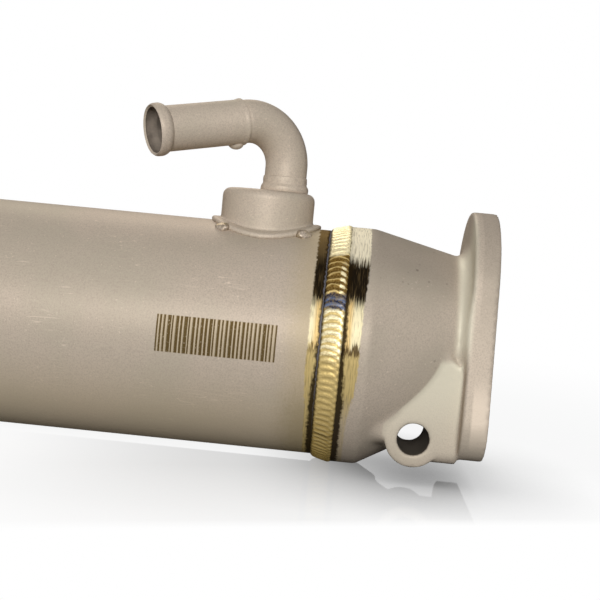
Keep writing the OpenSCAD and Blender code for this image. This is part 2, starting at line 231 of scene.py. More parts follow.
def alone(obj):
    """Makes obj the only selected and active object."""
    deselect()
    obj.select_set(True)
    bpy.context.view_layer.objects.active = obj


def edit(obj):
    """Enters edit mode with everything on obj selected."""
    alone(obj)
    bpy.ops.object.mode_set(mode="EDIT")
    bpy.ops.mesh.select_all(action="SELECT")


def leave_edit():
    bpy.ops.object.mode_set(mode="OBJECT")
    return active()


def modify(obj, kind, **values):
    """Adds a modifier with its values and applies it."""
    alone(obj)
    mod = obj.modifiers.new(kind.title(), kind)
    for name, value in values.items():
        setattr(mod, name, value)
    bpy.ops.object.modifier_apply(modifier=mod.name)


def modify_where(obj, is_chosen, kind, **values):
    """Applies a modifier to the vertices whose places is_chosen picks."""
    group = obj.vertex_groups.new(name="chosen")
    group.add([v.index for v in obj.data.vertices if is_chosen(v.co)], 1.0, "REPLACE")
    modify(obj, kind, vertex_group=group.name, **values)
    obj.vertex_groups.clear()


def roughen(obj, name, scale, strength):
    """Makes a surface uneven with lumps of the given size."""
    lumps = bpy.data.textures.new(name, "CLOUDS")
    lumps.noise_scale = scale
    modify(obj, "DISPLACE", texture=lumps, texture_coords="LOCAL", strength=strength, mid_level=0.5)


def shade_smooth(obj):
    alone(obj)
    bpy.ops.object.shade_smooth()


def settle(obj):
    """Puts obj's place, turn and size into its mesh."""
    alone(obj)
    bpy.ops.object.transform_apply(location=True, rotation=True, scale=True)


def copy_of(obj, name):
    """A copy of obj with its own mesh, free of any body."""
    alone(obj)
    bpy.ops.object.duplicate()
    twin = active()
    twin.parent = None
    twin.matrix_world = Matrix.Identity(4)
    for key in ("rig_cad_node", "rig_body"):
        if key in twin:
            del twin[key]
    twin.name = name
    twin.data.name = name
    return twin


def mirrored(obj, name):
    """A copy of a piece at the other end of the shell."""
    twin = copy_of(obj, name)
    edit(twin)
    bpy.ops.transform.resize(value=(-1, 1, 1), center_override=(MID_X, 0, 0))
    bpy.ops.mesh.normals_make_consistent(inside=False)
    return leave_edit()


def joined(pieces, name):
    """Joins pieces into the first one."""
    deselect()
    for piece in pieces:
        piece.select_set(True)
    bpy.context.view_layer.objects.active = pieces[0]
    bpy.ops.object.join()
    pieces[0].name = name
    pieces[0].data.name = name
    return pieces[0]


def wear(obj, *materials):
    """Gives obj these materials in order."""
    obj.data.materials.clear()
    for material in materials:
        obj.data.materials.append(material)


def hand_over_pair(obj, node, twin_name, twin_node):
    """Hands over a piece and its mirror image at the other end."""
    twin = mirrored(obj, twin_name)
    hand_over(obj, node)
    hand_over(twin, twin_node)


def hand_over(obj, node):
    """Lets a finished piece stand for its solid."""
    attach(obj, "root")
    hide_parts(node)


class NodeTree:
    """A tree of shader nodes. Most calls add a node and return its output socket."""

    def __init__(self, tree):
        self.tree = tree

    def add(self, kind, **inputs):
        node = self.tree.nodes.new(kind)
        for name, value in inputs.items():
            self.put(node.inputs[name], value)
        return node

    def put(self, socket, value):
        if isinstance(value, bpy.types.NodeSocket):
            self.tree.links.new(value, socket)
        elif hasattr(value, "__len__") and len(value) == 3 and socket.type == "RGBA":
            socket.default_value = (*value, 1.0)
        else:
            socket.default_value = value

    def math(self, operation, a, b=0.0):
        node = self.add("ShaderNodeMath")
        node.operation = operation
        self.put(node.inputs[0], a)
        self.put(node.inputs[1], b)
        return node.outputs[0]

    def seen(self):
        """1 for rays that show the background: from the camera, from gloss and through glass."""
        path = self.add("ShaderNodeLightPath")
        share = path.outputs["Is Camera Ray"]
        for name in ("Is Glossy Ray", "Is Transmission Ray"):
            share = self.math("MAXIMUM", share, path.outputs[name])
        return share

    def mixed(self, share, first, second):
        """The first shader where share is 0, the second where it is 1."""
        node = self.add("ShaderNodeMixShader")
        for socket, value in zip(node.inputs, (share, first, second)):
            self.put(socket, value)
        return node.outputs[0]


class NodeSheet(NodeTree):
    """The nodes of one material, which read the object's own coordinates."""

    def __init__(self, name, metallic, roughness):
        self.material = bpy.data.materials.new(name)
        self.material.use_nodes = True
        super().__init__(self.material.node_tree)
        self.shader = self.tree.nodes["Principled BSDF"]
        for socket, value in (
                ("Metallic", metallic), ("Roughness", roughness), ("Specular IOR Level", 0.0),
                ("Specular Tint", (0.4, 0.38, 0.35))):
            self.put(self.shader.inputs[socket], value)
        self.place = self.add("ShaderNodeTexCoord").outputs["Object"]
        split = self.add("ShaderNodeSeparateXYZ")
        self.put(split.inputs[0], self.place)
        self.x, self.y, self.z = split.outputs

    def plus(self, a, b):
        return self.math("ADD", a, b)

    def minus(self, a, b):
        return self.math("SUBTRACT", a, b)

    def times(self, product, *others):
        for other in others:
            product = self.math("MULTIPLY", product, other)
        return product

    def fade(self, value, start, end, curve="SMOOTHSTEP"):
        """Goes from 0 at start to 1 at end."""
        node = self.add("ShaderNodeMapRange")
        node.interpolation_type = curve
        self.put(node.inputs["Value"], value)
        lo, hi, first, last = (start, end, 0.0, 1.0) if start < end else (end, start, 1.0, 0.0)
        for socket, number in zip(("From Min", "From Max", "To Min", "To Max"), (lo, hi, first, last)):
            node.inputs[socket].default_value = number
        return node.outputs[0]

    def band(self, value, low, high, soft):
        """1 between low and high, with soft edges."""
        rising = self.fade(value, low - soft, low + soft)
        return self.times(rising, self.fade(value, high + soft, high - soft))

    def against(self, operation, vector):
        """The object's own coordinates measured against a fixed vector."""
        node = self.add("ShaderNodeVectorMath")
        node.operation = operation
        self.put(node.inputs[0], self.place)
        node.inputs[1].default_value = vector
        return node.outputs["Value"]

    def stretched(self, scale, turn=(0.0, 0.0, 0.0)):
        node = self.add("ShaderNodeMapping", Vector=self.place, Scale=scale, Rotation=turn)
        return node.outputs[0]

    def noise(self, scale, detail=2.0, vector=None, roughness=0.5):
        node = self.add("ShaderNodeTexNoise", Vector=vector or self.place, Scale=scale, Detail=detail,
                        Roughness=roughness)
        return node.outputs[0]

    def brushed(self, across, along):
        """Noise drawn out along the seam, as a wire brush leaves it, and 0 on average."""
        node = self.add(
            "ShaderNodeCombineXYZ", X=self.times(self.x, across), Y=self.times(self.around(), along))
        return self.minus(self.noise(1.0, 3, vector=node.outputs[0]), 0.5)

    def blend(self, share, a, b):
        node = self.add("ShaderNodeMix")
        node.data_type = "RGBA"
        self.put(node.inputs[0], share)
        self.put(node.inputs[6], a)
        self.put(node.inputs[7], b)
        return node.outputs[2]

    def ramp(self, value, stops):
        node = self.add("ShaderNodeValToRGB")
        self.put(node.inputs[0], value)
        points = node.color_ramp.elements
        while len(points) < len(stops):
            points.new(1.0)
        for point, (at, colour) in zip(points, stops):
            point.position = at
            point.color = (*colour, 1.0)
        return node.outputs[0]

    def emission(self, colour, strength):
        return self.add("ShaderNodeEmission", Color=colour, Strength=strength).outputs[0]

    def bump(self, height, distance, strength):
        node = self.add("ShaderNodeBump", Strength=strength, Distance=distance, Height=height)
        self.put(self.shader.inputs["Normal"], node.outputs[0])

    def colour(self, value):
        self.put(self.shader.inputs["Base Color"], value)

    def roughness(self, pattern, spread, least):
        self.put(self.shader.inputs["Roughness"], self.plus(self.times(pattern, spread), least))

    def around(self):
        """Angle around the shell in degrees: 0 at the front, 90 on top."""
        up = self.minus(self.z, AXIS_Z)
        front = self.times(self.y, -1.0)
        return self.times(self.math("ARCTAN2", up, front), 180 / math.pi)

    def from_weld(self):
        """Distance in millimetres from the nearer ring weld, toward the shell and toward the casting."""
        lean = bpy.context.scene.cooler_weld.lean
        half = self.math("ABSOLUTE", self.minus(self.x, MID_X))
        shell_side = self.minus(WELD_LOW.x + lean - MID_X, half)
        cast_side = self.minus(half, WELD_HIGH.x + lean - MID_X)
        return self.times(shell_side, 1 / MM), self.times(cast_side, 1 / MM)


def toned(colour, factor):
    """The colour, lighter or darker by a factor."""
    return [min(1.0, c * factor) for c in colour]


def heat_tint(sheet, colour, finish):
    """Colours the steel beside a ring weld: haze, brushed strips, soot, dark toes and a lilac line."""
    shell_side, cast_side = sheet.from_weld()
    away = sheet.math("MAXIMUM", shell_side, cast_side)
    on_cast = sheet.math("GREATER_THAN", cast_side, shell_side)
    on_shell = sheet.minus(1.0, on_cast)
    streak = sheet.brushed(2200, 0.12)
    fine = sheet.minus(sheet.noise(520, 3), 0.5)
    angle = sheet.plus(sheet.around(), sheet.times(streak, 15.0))
    share = sheet.plus(sheet.times(angle, 1 / 360), 0.5)
    haze = sheet.times(on_shell, sheet.fade(sheet.plus(away, sheet.times(fine, 6.0)), 21.0, 5.0))
    dull = toned(finish.tan, 0.8)
    low = sheet.fade(angle, -8.0, -34.0)
    dusk = sheet.blend(sheet.times(low, 0.9), finish.straw, toned(finish.tan, 0.45))
    colour = sheet.blend(sheet.times(haze, 0.55), colour, dusk)
    smoky = toned(finish.brown, 1.7)
    left = sheet.ramp(share, [
        (0.00, finish.olive), (0.38, dull), (0.501, finish.tan), (0.506, finish.brown), (0.511, finish.tan),
        (0.516, finish.gold), (0.560, finish.gold), (0.574, finish.burnt), (0.628, finish.burnt),
        (0.653, finish.brown), (0.71, smoky), (0.80, smoky), (1.00, dull),
    ])
    right = sheet.ramp(share, [
        (0.00, finish.olive), (0.38, dull), (0.500, finish.tan), (0.504, finish.brown),
        (0.511, finish.brown), (0.517, finish.gold), (0.560, finish.gold), (0.573, finish.burnt),
        (0.622, finish.burnt), (0.641, finish.silver), (0.76, finish.silver), (0.82, finish.tan),
        (1.00, dull),
    ])
    tint = sheet.blend(on_cast, left, right)
    warm = sheet.times(sheet.fade(away, 4.4, 2.0), sheet.band(angle, 4.0, 25.0, 2.0))
    tint = sheet.blend(sheet.times(warm, 0.75), tint, finish.orange)
    tint = sheet.blend(sheet.times(sheet.fade(streak, 0.02, -0.14), 0.4), tint, finish.brown)
    wide = sheet.plus(sheet.times(sheet.fade(angle, 15.0, 45.0), 1.2), 2.2)
    wide = sheet.minus(wide, sheet.times(low, 1.6))
    reach = sheet.plus(sheet.times(on_cast, wide), sheet.minus(5.2, sheet.times(low, 1.2)))
    ragged = sheet.plus(sheet.times(on_shell, sheet.fade(angle, 38.0, 50.0), 1.2), 1.4)
    outer = sheet.minus(sheet.plus(away, sheet.times(fine, ragged)), reach)
    strip = sheet.fade(outer, 0.4, -0.4)
    faint = sheet.times(on_cast, sheet.fade(angle, -16.0, -34.0), 0.55)
    colour = sheet.blend(sheet.times(strip, sheet.minus(0.99, faint)), colour, tint)
    clean = sheet.times(on_cast, sheet.fade(angle, 44.0, 54.0))
    spread = sheet.fade(angle, 0.0, -24.0)
    fuzz = sheet.times(fine, 2.6)
    toe = sheet.fade(sheet.minus(sheet.plus(away, fuzz), sheet.times(spread, 1.1)), 2.1, 0.7)
    toe = sheet.times(toe, sheet.minus(0.95, sheet.times(clean, 0.8)), sheet.fade(away, -1.8, -0.9))
    colour = sheet.blend(toe, colour, toned(finish.burnt, 2.0))
    lilac = sheet.times(sheet.band(sheet.plus(shell_side, sheet.times(fine, 2.0)), 0.1, 0.7, 0.3),
                        sheet.fade(angle, -50.0, 10.0))
    return sheet.blend(sheet.times(lilac, 0.5), colour, finish.lilac)


def clouded(sheet, warm, cool):
    """Blasted steel: broad cool clouds, a fine grain and faint pale specks."""
    cloud = sheet.fade(sheet.noise(26, 3), 0.38, 0.66)
    colour = sheet.blend(sheet.times(cloud, 0.75), warm, cool)
    grain = sheet.noise(1500, 3, roughness=0.7)
    dark = toned(warm, 0.82)
    colour = sheet.blend(sheet.fade(grain, 0.58, 0.34), colour, dark)
    speck = sheet.fade(sheet.noise(800, 1), 0.68, 0.80)
    return sheet.blend(sheet.times(speck, 0.5), colour, toned(warm, 1.3)), grain


def scratches(sheet, turn, across, along):
    """Thin stray scratches that run one way."""
    field = sheet.noise(1.0, 1, vector=sheet.stretched((along, across, across), turn))
    line = sheet.math("ABSOLUTE", sheet.minus(field, 0.5))
    patch = sheet.fade(sheet.noise(40, 2), 0.50, 0.62)
    return sheet.times(sheet.fade(line, 0.010, 0.002), patch)


def blasted_steel(name, finish, tone=1.0, marked=False):
    """Blasted sheet steel. The shell's also gets painted shade underneath, a darker and warmer tone, and is
    heat-tinted and etched with bars.
    """
    sheet = NodeSheet(name, 0.09, 0.4)
    colour, grain = clouded(sheet, toned(finish.steel, tone), toned(finish.steel_cool, tone))
    scratch = scratches(sheet, (0.2, 0.9, 0.4), 420, 30)
    pale = toned(finish.steel, 1.35)
    colour = sheet.blend(sheet.times(scratch, 0.55), colour, pale)
    if marked:
        rings = sheet.noise(1.0, 2, vector=sheet.stretched((260, 4, 4)))
        colour = sheet.blend(sheet.times(sheet.fade(rings, 0.60, 0.80), 0.25), colour, finish.steel_cool)
        # Painted shade: a darker, warmer tone on the shell's underside
        under = sheet.times(sheet.fade(sheet.around(), -5.0, -45.0), 0.6)
        colour = sheet.blend(under, colour, [c * w for c, w in zip(finish.steel, (0.96, 0.94, 0.78))])
        colour = heat_tint(sheet, colour, finish)
        colour = bar_mark(sheet, colour, finish)
    sheet.colour(colour)
    sheet.roughness(grain, 0.22, 0.31)
    sheet.bump(sheet.plus(grain, sheet.times(scratch, -0.6)), 0.00012, 0.55)
    return sheet.material


def bar_mark(sheet, colour, finish):
    """A generic block of uneven etched bars on the shell's front."""
    inside = sheet.band(sheet.x, POD_X - 38 * MM, POD_X + 12 * MM, 0.1 * MM)
    level = sheet.band(sheet.z, AXIS_Z - 5.4 * MM, AXIS_Z + 10.0 * MM, 0.2 * MM)
    inside = sheet.times(inside, level, sheet.fade(sheet.y, 0.0, -MM))
    cells = sheet.times(sheet.x, 1 / (1.72 * MM))
    pick = sheet.add("ShaderNodeTexWhiteNoise")
    pick.noise_dimensions = "1D"
    sheet.put(pick.inputs["W"], sheet.math("FLOOR", cells))
    width = sheet.plus(sheet.times(pick.outputs["Value"], 0.5), 0.34)
    within = sheet.math("FRACT", cells)
    bars = sheet.fade(sheet.minus(within, width), 0.05, -0.05)
    slim = sheet.band(within, 0.88, 0.96, 0.03)
    slim = sheet.times(slim, sheet.math("LESS_THAN", pick.outputs["Value"], 0.45))
    worn = sheet.fade(sheet.noise(1600, 2), 0.20, 0.40)
    bars = sheet.times(sheet.math("MAXIMUM", bars, slim), inside, worn)
    colour = sheet.blend(sheet.times(inside, 0.5), colour, finish.straw)
    return sheet.blend(sheet.times(bars, 0.95), colour, finish.mark)


def lug_face_painted_light(sheet):
    """1 on the flat front of the mounting lug and its web, where a paler colour is painted on as light."""
    flat = sheet.band(sheet.y, LUG_HOLE.y - 0.5 * MM, LUG_HOLE.y + 0.5 * MM, 0.3 * MM)
    beside = sheet.band(sheet.x, CAST_HIGH.x - 43 * MM, CAST_HIGH.x - 11 * MM, 0.5 * MM)
    upper = sheet.times(sheet.fade(sheet.z, -58 * MM, -12 * MM), sheet.fade(sheet.z, -4.5 * MM, -8 * MM))
    return sheet.times(flat, beside, upper)


def lug_bore_painted_shade(sheet):
    """1 on the wall of the lug's bolt hole, where shade is painted on as a dark colour."""
    along = sheet.minus(sheet.x, LUG_HOLE.x)
    up = sheet.minus(sheet.z, LUG_HOLE.z)
    away = sheet.math("SQRT", sheet.plus(sheet.times(along, along), sheet.times(up, up)))
    inside = sheet.fade(away, 7.3 * MM, 6.9 * MM)
    return sheet.times(inside, sheet.fade(sheet.y, LUG_HOLE.y, LUG_HOLE.y + MM))


def flange_painted_shading(sheet, colour, finish):
    """Painted shade high on the cone and on the flange's upper edge, and painted light on the fillet between
    them and on the lower part of the flange's edge.
    """
    outward = sheet.from_weld()[1]
    angle = sheet.around()
    # Painted shade high on the cone; the flange's upper edge gets painted shade as well
    painted_cone_shade = sheet.times(sheet.band(angle, 42.0, 100.0, 12.0), sheet.fade(outward, 48.5, 44.0))
    edge = sheet.fade(outward, 55.6, 56.8)
    upper = sheet.times(edge, sheet.fade(sheet.z, 0.0, 24 * MM))
    # Painted light on the lower part of the flange's edge
    painted_edge_light = sheet.times(edge, sheet.band(sheet.z, -38 * MM, -16 * MM, 7 * MM))
    dusk = sheet.plus(sheet.times(painted_cone_shade, 0.5), sheet.times(upper, 0.3))
    colour = sheet.blend(dusk, colour, toned(finish.cast, 0.55))
    colour = sheet.blend(sheet.times(painted_edge_light, 0.7), colour, toned(finish.cast, 1.35))
    # Painted light on the fillet behind the flange, which would lie in shade
    painted_fillet_light = sheet.times(sheet.band(outward, 47.6, 53.4, 1.6), sheet.band(angle, 5.0, 78.0, 12.0))
    return sheet.blend(sheet.times(painted_fillet_light, 0.8), colour, finish.pale)


def cast_steel(finish):
    """Blasted investment casting: slightly coarser skin, small pits and heat tint at the collar."""
    sheet = NodeSheet("cast_stainless", 0.09, 0.42)
    colour, grain = clouded(sheet, finish.cast, toned(finish.steel_cool, 0.9))
    pits = sheet.add("ShaderNodeTexVoronoi", Vector=sheet.place, Scale=260)
    chosen = sheet.fade(sheet.noise(55, 2), 0.60, 0.70)
    pit = sheet.times(sheet.fade(pits.outputs["Distance"], 0.22, 0.08), chosen)
    colour = sheet.blend(sheet.times(pit, 0.7), colour, toned(finish.cast, 0.35))
    # Painted shade and painted light on the cone and the flange
    colour = flange_painted_shading(sheet, colour, finish)
    # Painted light: the lug's flat front in a paler colour
    colour = sheet.blend(sheet.times(lug_face_painted_light(sheet), 0.8), colour, finish.pale)
    # Painted shade: the bolt hole's wall darkened
    colour = sheet.blend(sheet.times(lug_bore_painted_shade(sheet), 0.85), colour, toned(finish.cast, 0.1))
    sheet.colour(heat_tint(sheet, colour, finish))
    skin = sheet.noise(520, 4, roughness=0.65)
    sheet.roughness(grain, 0.2, 0.33)
    height = sheet.plus(sheet.plus(sheet.times(skin, 0.8), sheet.times(grain, 0.4)), sheet.times(pit, -2.0))
    sheet.bump(height, 0.00022, 0.5)
    return sheet.material


def machined_steel(finish):
    """Faced steel with fine turning marks around the gas port."""
    sheet = NodeSheet("machined_face", 0.8, 0.34)
    cold_half = sheet.fade(sheet.x, MID_X + 10 * MM, MID_X - 10 * MM)
    height = sheet.minus(sheet.z, sheet.times(cold_half, AXIS_Z))
    ring = sheet.math("SQRT", sheet.plus(sheet.times(sheet.y, sheet.y), sheet.times(height, height)))
    turning = sheet.math("SINE", sheet.times(ring, math.tau / (0.55 * MM)))
    cloud = sheet.noise(60, 3)
    sheet.colour(sheet.blend(sheet.fade(cloud, 0.35, 0.7), finish.machined, toned(finish.machined, 0.82)))
    sheet.roughness(cloud, 0.2, 0.24)
    sheet.bump(turning, 0.00002, 0.5)
    return sheet.material


def weld_gold(finish, ripples):
    """Heat colours around a ring weld's bead, with painted highlights on the ripples' crests and painted
    shade between them.
    """
    sheet = NodeSheet("weld_gold", 0.45, 0.3)
    shell_side, cast_side = sheet.from_weld()
    across = sheet.times(sheet.minus(shell_side, cast_side), 0.5)
    cloud = sheet.minus(sheet.noise(190, 4), 0.5)
    angle = sheet.plus(sheet.around(), sheet.times(cloud, 8.0))
    share = sheet.plus(sheet.times(angle, 1 / 360), 0.5)
    dull = toned(finish.tan, 0.75)
    deep = toned(finish.olive, 0.6)
    cream = toned(finish.gold, 0.82)
    navy = toned(finish.blue, 0.4)
    # Crest colours are heat tints with painted highlights; the hollow colours below are heat tints with
    # painted shade
    crests = sheet.ramp(share, [
        (0.00, dull), (0.30, finish.olive), (0.378, dull), (0.382, finish.brown), (0.386, dull),
        (0.45, finish.tan), (0.489, finish.tan), (0.508, finish.gold), (0.554, finish.gold),
        (0.558, finish.steely), (0.568, finish.steely), (0.577, navy), (0.581, finish.glint),
        (0.637, finish.glint), (0.643, finish.gold), (0.76, finish.gold), (0.82, finish.tan), (1.00, dull),
    ])
    hollows = sheet.ramp(share, [
        (0.00, deep), (0.30, deep), (0.378, finish.olive), (0.382, finish.burnt), (0.386, finish.olive),
        (0.45, dull), (0.489, dull), (0.508, finish.tan), (0.554, finish.tan), (0.558, navy), (0.577, navy),
        (0.581, finish.amber), (0.637, finish.amber), (0.643, cream), (0.76, cream),
        (0.82, finish.olive), (1.00, deep),
    ])
    phase = sheet.plus(sheet.times(sheet.around(), ripples / 360), sheet.times(cloud, 0.9))
    curve = sheet.plus(phase, sheet.times(across, sheet.plus(across, -1.5), 0.03))
    wave = sheet.math("SINE", sheet.times(curve, math.tau))
    thin = sheet.times(sheet.band(angle, 29.0, 50.0, 1.5), 1.1)
    # Painted highlights on the crests and painted shade in the hollows, following the ripples' wave
    colour = sheet.blend(sheet.fade(sheet.minus(wave, thin), -0.75, 0.35), hollows, crests)
    # Painted highlight: gold on the ripples' tops near the casting side of the bead, high on the weld
    painted_edge_highlight = sheet.times(sheet.band(cast_side, -3.2, -1.1, 0.4), sheet.band(angle, 29.0, 43.0, 3.0))
    colour = sheet.blend(sheet.times(painted_edge_highlight, sheet.fade(wave, -0.6, 0.4)), colour, finish.gold)
    fine = sheet.noise(1300, 3)
    colour = sheet.blend(sheet.times(sheet.fade(fine, 0.60, 0.38), 0.35), colour, finish.olive)
    edge = sheet.plus(sheet.math("MAXIMUM", shell_side, cast_side), sheet.times(cloud, 1.4))
    colour = sheet.blend(sheet.times(sheet.fade(edge, -0.9, 0.3), 0.85), colour, finish.burnt)
    sheet.colour(colour)
    sheet.roughness(fine, 0.25, 0.3)
    sheet.bump(sheet.plus(fine, sheet.times(wave, 0.8)), 0.0002, 0.5)
    return sheet.material


def tack_steel(finish):
    """Dull grey weld metal of the tacks, browned in the hollows."""
    sheet = NodeSheet("tack_steel", 0.6, 0.45)
    cloud = sheet.fade(sheet.noise(240, 3), 0.38, 0.66)
    grain = sheet.noise(1400, 3)
    base = toned(finish.steel, 0.86)
    colour = sheet.blend(cloud, base, toned(finish.straw, 0.9))
    sheet.colour(sheet.blend(sheet.fade(grain, 0.60, 0.36), colour, toned(base, 0.6)))
    sheet.roughness(grain, 0.25, 0.34)
    sheet.bump(grain, 0.00012, 0.5)
    return sheet.material


def core_steel(finish):
    """Drawn tubes and plates inside, faintly sooted at the gas side."""
    sheet = NodeSheet("tube_steel", 0.7, 0.42)
    streak = sheet.noise(1.0, 3, vector=sheet.stretched((12, 700, 700)))
    soot = sheet.fade(sheet.noise(90, 3), 0.42, 0.70)
    colour = sheet.blend(sheet.fade(streak, 0.35, 0.65), finish.core, toned(finish.core, 1.25))
    sheet.colour(sheet.blend(sheet.times(soot, 0.6), colour, toned(finish.core, 0.45)))
    sheet.roughness(streak, 0.2, 0.34)
    sheet.bump(streak, 0.00005, 0.4)
    return sheet.material


def pipe_inner_painted_shade(finish):
    """Inner wall of a coolant pipe, painted dark as shade, in blotches."""
    sheet = NodeSheet("pipe_bore_painted_shade", 0.1, 0.6)
    stain = sheet.fade(sheet.noise(180, 3), 0.35, 0.7)
    sheet.colour(sheet.blend(stain, toned(finish.steel, 0.5), toned(finish.steel, 0.3)))
    return sheet.material


FINISHES = {}


def finish_named(name):
    """Makes the materials once and returns the one asked for."""
    if not FINISHES:
        finish = bpy.context.scene.cooler_finish
        FINISHES["shell"] = blasted_steel("blasted_shell", finish, marked=True)
        FINISHES["sheet"] = blasted_steel("blasted_sheet", finish, tone=1.08)
        FINISHES["cast"] = cast_steel(finish)
        FINISHES["machined"] = machined_steel(finish)
        FINISHES["weld"] = weld_gold(finish, bpy.context.scene.cooler_weld.ripples)
        FINISHES["tack"] = tack_steel(finish)
        FINISHES["core"] = core_steel(finish)
        FINISHES["inside"] = pipe_inner_painted_shade(finish)
    return FINISHES[name]


def softened(node, name, voxel, rounds, is_crisp, filler=None):
    """A copy of a solid with cast or pressed roundings: remeshed, and smoothed but for crisp places."""
    piece = copy_of(frame["nodes"][node], name)
    if filler:
        alone(piece)
        filler.select_set(True)
        bpy.ops.object.join()
    edit(piece)
    bpy.ops.mesh.remove_doubles(threshold=1e-6)
    leave_edit()
    modify(piece, "REMESH", mode="VOXEL", voxel_size=voxel, use_smooth_shade=True)
    modify(piece, "SMOOTH", factor=0.5, iterations=2)
    modify_where(piece, lambda co: not is_crisp(co), "SMOOTH", factor=0.5, iterations=rounds)
    shade_smooth(piece)
    return piece


def face_machined(piece, x, outward):
    """Gives the flat face at x the second material."""
    for face in piece.data.polygons:
        if abs(face.center.x - x) < 0.5 * MM and face.normal.x * outward > 0.8:
            face.material_index = 1


class COOLER_OT_castings(bpy.types.Operator):
    """Round off the two end castings and face their flanges"""

    bl_idname = "cooler.castings"
    bl_label = "End castings"

    def execute(self, context):
        def hot_crisp(co):
            at_lug = co.x > CAST_HIGH.x - 60 * MM and co.y < -30 * MM and co.z < AXIS_Z
            return at_lug or co.x > CAST_HIGH.x - FACE_DEPTH

        def cold_crisp(co):
            return co.x < COLD_LOW.x + FACE_DEPTH

        def beside_boss(co):
            along, up = co.x - LUG_HOLE.x, co.z - LUG_HOLE.z
            return along < -6 * MM and co.y < -20 * MM and 12.3 * MM < math.hypot(along, up) < 24 * MM

        hot = softened("hot_end_casting", "hot_casting_skin", 0.86 * MM, 6, hot_crisp, self.lug_blend())
        cold = softened("cold_end_casting", "cold_casting_skin", 1.0 * MM, 10, cold_crisp)
        modify_where(hot, beside_boss, "SMOOTH", factor=0.5, iterations=BOSS_ROUNDS)
        for piece, node, x, outward in (
                (hot, "hot_end_casting", CAST_HIGH.x, 1), (cold, "cold_end_casting", COLD_LOW.x, -1)):
            far = max(abs(v.co.x - x) for v in piece.data.vertices)
            modify_where(piece, lambda co: abs(co.x - x) > far - 3 * MM, "SMOOTH", factor=0.5,
                         iterations=COLLAR_ROUNDS)
            wear(piece, finish_named("cast"), finish_named("machined"))
            face_machined(piece, x, outward)
            hand_over(piece, node)
        return {"FINISHED"}

    def lug_blend(self):
        """A lump that fills the corner between the lug's boss and the cone."""
        deselect()
        place = LUG_HOLE + Vector(LUMP_PLACE) * MM
        bpy.ops.mesh.primitive_ico_sphere_add(subdivisions=4, radius=MM, location=place)
        lump = active()
        lump.scale = LUMP_SIZE
        settle(lump)
        return lump


class COOLER_OT_ring_welds(bpy.types.Operator):
    """Lay the two rippled ring welds, puddle by puddle"""

    bl_idname = "cooler.ring_welds"
    bl_label = "Ring welds"

    def execute(self, context):
        sizes = context.scene.cooler_weld
        collar_r = (CAST_HIGH.y - CAST_LOW.y) / 2
        step = math.tau / sizes.ripples
        ring_r = (SHELL_R + collar_r) / 2
        slope = math.atan2(collar_r - SHELL_R, WELD_HIGH.x - WELD_LOW.x)
        deselect()
        bpy.ops.mesh.primitive_ico_sphere_add(subdivisions=4, radius=0.5, rotation=(0.2, 0.3, 0.4))
        puddle = active()
        settle(puddle)
        puddle.scale = (sizes.width, sizes.pitch_share * step * ring_r, sizes.height)
        settle(puddle)
        modify(puddle, "CAST", cast_type="CUBOID", factor=0.3)
        edit(puddle)
        bpy.ops.transform.rotate(value=math.radians(12), orient_axis="X", center_override=(0, 0, 0))
        bpy.ops.transform.rotate(value=slope, orient_axis="Y", center_override=(0, 0, 0))
        seam = (WELD_LOW.x + WELD_HIGH.x) / 2 + sizes.lean
        bpy.ops.transform.translate(value=(seam, 0, ring_r - sizes.sink))
        leave_edit()
        puddle.location.z = AXIS_Z
        bpy.ops.object.empty_add(location=(0, 0, AXIS_Z), rotation=(step, 0, 0))
        turner = active()
        modify(puddle, "ARRAY", count=sizes.ripples, use_relative_offset=False, use_object_offset=True,
               offset_object=turner)
        bpy.data.objects.remove(turner)
        settle(puddle)
        puddle.name = "hot_weld_bead"
        roughen(puddle, "puddle_unevenness", 6 * MM, 0.35 * MM)
        modify(puddle, "REMESH", mode="VOXEL", voxel_size=0.42 * MM, use_smooth_shade=True)
        modify(puddle, "SMOOTH", factor=0.4, iterations=1)
        wear(puddle, finish_named("weld"))
        hand_over_pair(puddle, "hot_ring_weld", "cold_weld_bead", "cold_ring_weld")
        return {"FINISHED"}


class COOLER_OT_pods(bpy.types.Operator):
    """Round off the two pressed coolant pods"""

    bl_idname = "cooler.pods"
    bl_label = "Coolant pods"

    def execute(self, context):
        pod = softened("front_coolant_pod", "front_pod_skin", 0.5 * MM, 5, lambda co: False)
        skirt_r = (POD_HIGH.x - POD_LOW.x) / 2
        modify_where(pod, lambda co: math.hypot(co.x - POD_X, co.y) > skirt_r - 2.9 * MM, "DISPLACE",
                     strength=0.3 * MM, mid_level=0.0)
        wear(pod, finish_named("sheet"))
        hand_over_pair(pod, "front_coolant_pod", "rear_pod_skin", "rear_coolant_pod")
        return {"FINISHED"}


class COOLER_OT_tacks(bpy.types.Operator):
    """Drop the uneven tack welds around the pods' skirts"""

    bl_idname = "cooler.tacks"
    bl_label = "Tack welds"

    def execute(self, context):
        r = context.scene.cooler_weld.tack
        skirt_r = (POD_HIGH.x - POD_LOW.x) / 2
        blobs = []
        for i in range(4):
            angle = math.radians(45 + 90 * i)
            out = skirt_r + r / 4
            across = out * math.sin(angle)
            up = math.sqrt(SHELL_R ** 2 - across ** 2)
            deselect()
            bpy.ops.mesh.primitive_ico_sphere_add(
                subdivisions=4, radius=r, location=(POD_X + out * math.cos(angle), across, AXIS_Z + up),
                rotation=(-math.asin(across / SHELL_R), 0, angle + math.pi / 2), scale=(1.4, 1.05, 0.75))
            blob = active()
            settle(blob)
            blobs.append(blob)
        tacks = joined(blobs, "front_tack_blobs")
        roughen(tacks, "tack_unevenness", 2.2 * MM, 1.1 * MM)
        shade_smooth(tacks)
        wear(tacks, finish_named("tack"))
        hand_over_pair(tacks, "front_pod_tacks", "rear_tack_blobs", "rear_pod_tacks")
        return {"FINISHED"}


